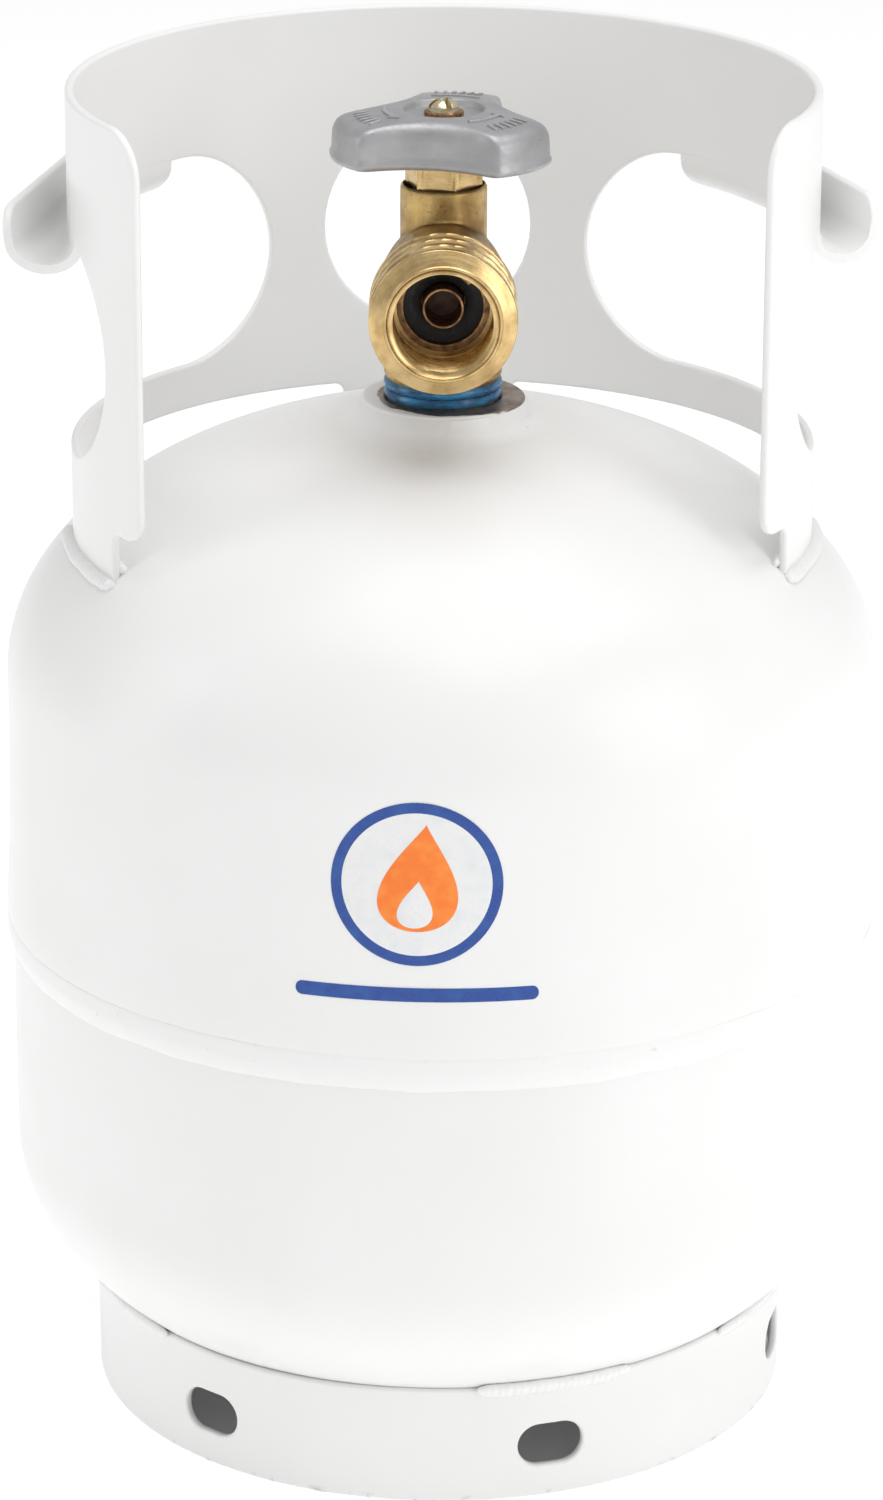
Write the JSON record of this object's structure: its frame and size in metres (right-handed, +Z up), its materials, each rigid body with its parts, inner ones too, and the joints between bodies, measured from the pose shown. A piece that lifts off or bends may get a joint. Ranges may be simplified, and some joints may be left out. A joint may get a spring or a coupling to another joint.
{
  "type": "propane cylinder",
  "caption": "Small white steel gas cylinder with guard collar, hand grips, foot ring and a brass overfill-stop valve with a three-lobed handwheel.",
  "frame": {"origin": "centre of the foot ring's lower edge, on the cylinder's axis", "axes": "+Z up along the cylinder's axis, -Y out of the valve outlet, through the collar's front gap"},
  "size_m": [0.2056, 0.2056, 0.315],
  "materials": {
    "white_paint": "semi-gloss white powder coat",
    "bare_steel": "machined, lightly oxidised",
    "brass": "cast and machined brass",
    "bronze": "dull bronze",
    "sealant": "hardened blue thread sealant",
    "cast_grey": "grey painted die casting",
    "rubber": "matte black",
    "spring_steel": "drawn stainless wire",
    "white_plastic": "moulded acetal",
    "float_foam": "closed cell foam"
  },
  "bodies": {
    "cylinder": {"upper_shell": "white_paint", "lower_shell": "white_paint", "girth_weld": "white_paint", "valve_boss": "bare_steel", "boss_weld": "white_paint", "collar": "white_paint", "collar_welds": "white_paint", "foot_ring": "white_paint", "foot_ring_welds": "white_paint", "valve_body": "brass", "thread_sealant": "sealant", "bonnet_nut": "brass", "bonnet_gasket": "rubber", "outlet_retainer": "bronze", "outlet_seal": "rubber", "outlet_check_spring": "spring_steel", "relief_adjuster": "brass", "relief_spring": "spring_steel", "dip_tube": "brass", "opd_housing": "white_plastic", "float_pin": "spring_steel"},
    "handwheel_and_stem": {"spindle": "brass", "stem_seals": "rubber", "handwheel": "cast_grey", "lock_washer": "bronze", "handwheel_screw": "brass"},
    "shut_off": {"shut_off_plug": "brass", "seat_disc": "rubber"},
    "outlet_check_valve": {"outlet_check": "brass"},
    "relief_valve": {"relief_poppet": "brass", "relief_disc": "rubber"},
    "vent": {"vent_screw": "brass"},
    "float": {"float_arm": "spring_steel", "float_ball": "float_foam"},
    "opd_valve": {"opd_piston": "white_plastic"}
  },
  "joints": [
    {"name": "handwheel_turn", "type": "hinge", "parent": "cylinder", "child": "handwheel_and_stem", "pos_m": [0, 0, 0.303], "axis": [0, 0, 1], "range_deg": [0, 540]},
    {"name": "shut_off_lift", "type": "slide", "parent": "handwheel_and_stem", "child": "shut_off", "axis": [0, 0, 1], "range_m": [0, 0.00305]},
    {"name": "outlet_check_push", "type": "slide", "parent": "cylinder", "child": "outlet_check_valve", "axis": [0, 1, 0], "range_m": [0, 0.003], "stiffness_N_per_m": 600, "springref_m": -0.001, "deforming": ["outlet_check_spring"]},
    {"name": "relief_lift", "type": "slide", "parent": "cylinder", "child": "relief_valve", "axis": [0, 1, 0], "range_m": [0, 0.002], "stiffness_N_per_m": 3000, "springref_m": -0.002, "deforming": ["relief_spring"]},
    {"name": "vent_screw_turn", "type": "hinge", "parent": "cylinder", "child": "vent", "pos_m": [-0.00998, 0.01425, 0.268], "axis": [-0.5736, 0.8192, 0], "range_deg": [0, 360]},
    {"name": "float_swing", "type": "hinge", "parent": "cylinder", "child": "float", "pos_m": [-0.0035, 0, 0.203], "axis": [0, -1, 0], "range_deg": [0, 30]},
    {"name": "opd_piston_lift", "type": "slide", "parent": "cylinder", "child": "opd_valve", "axis": [0, 0, 1], "range_m": [0, 0.00116]}
  ],
  "couplings": [
    {"joint": "shut_off_lift", "follows": "handwheel_turn", "m_per_rad": 0.00031831},
    {"joint": "opd_piston_lift", "follows": "float_swing", "m_per_rad": 0.0022}
  ]
}
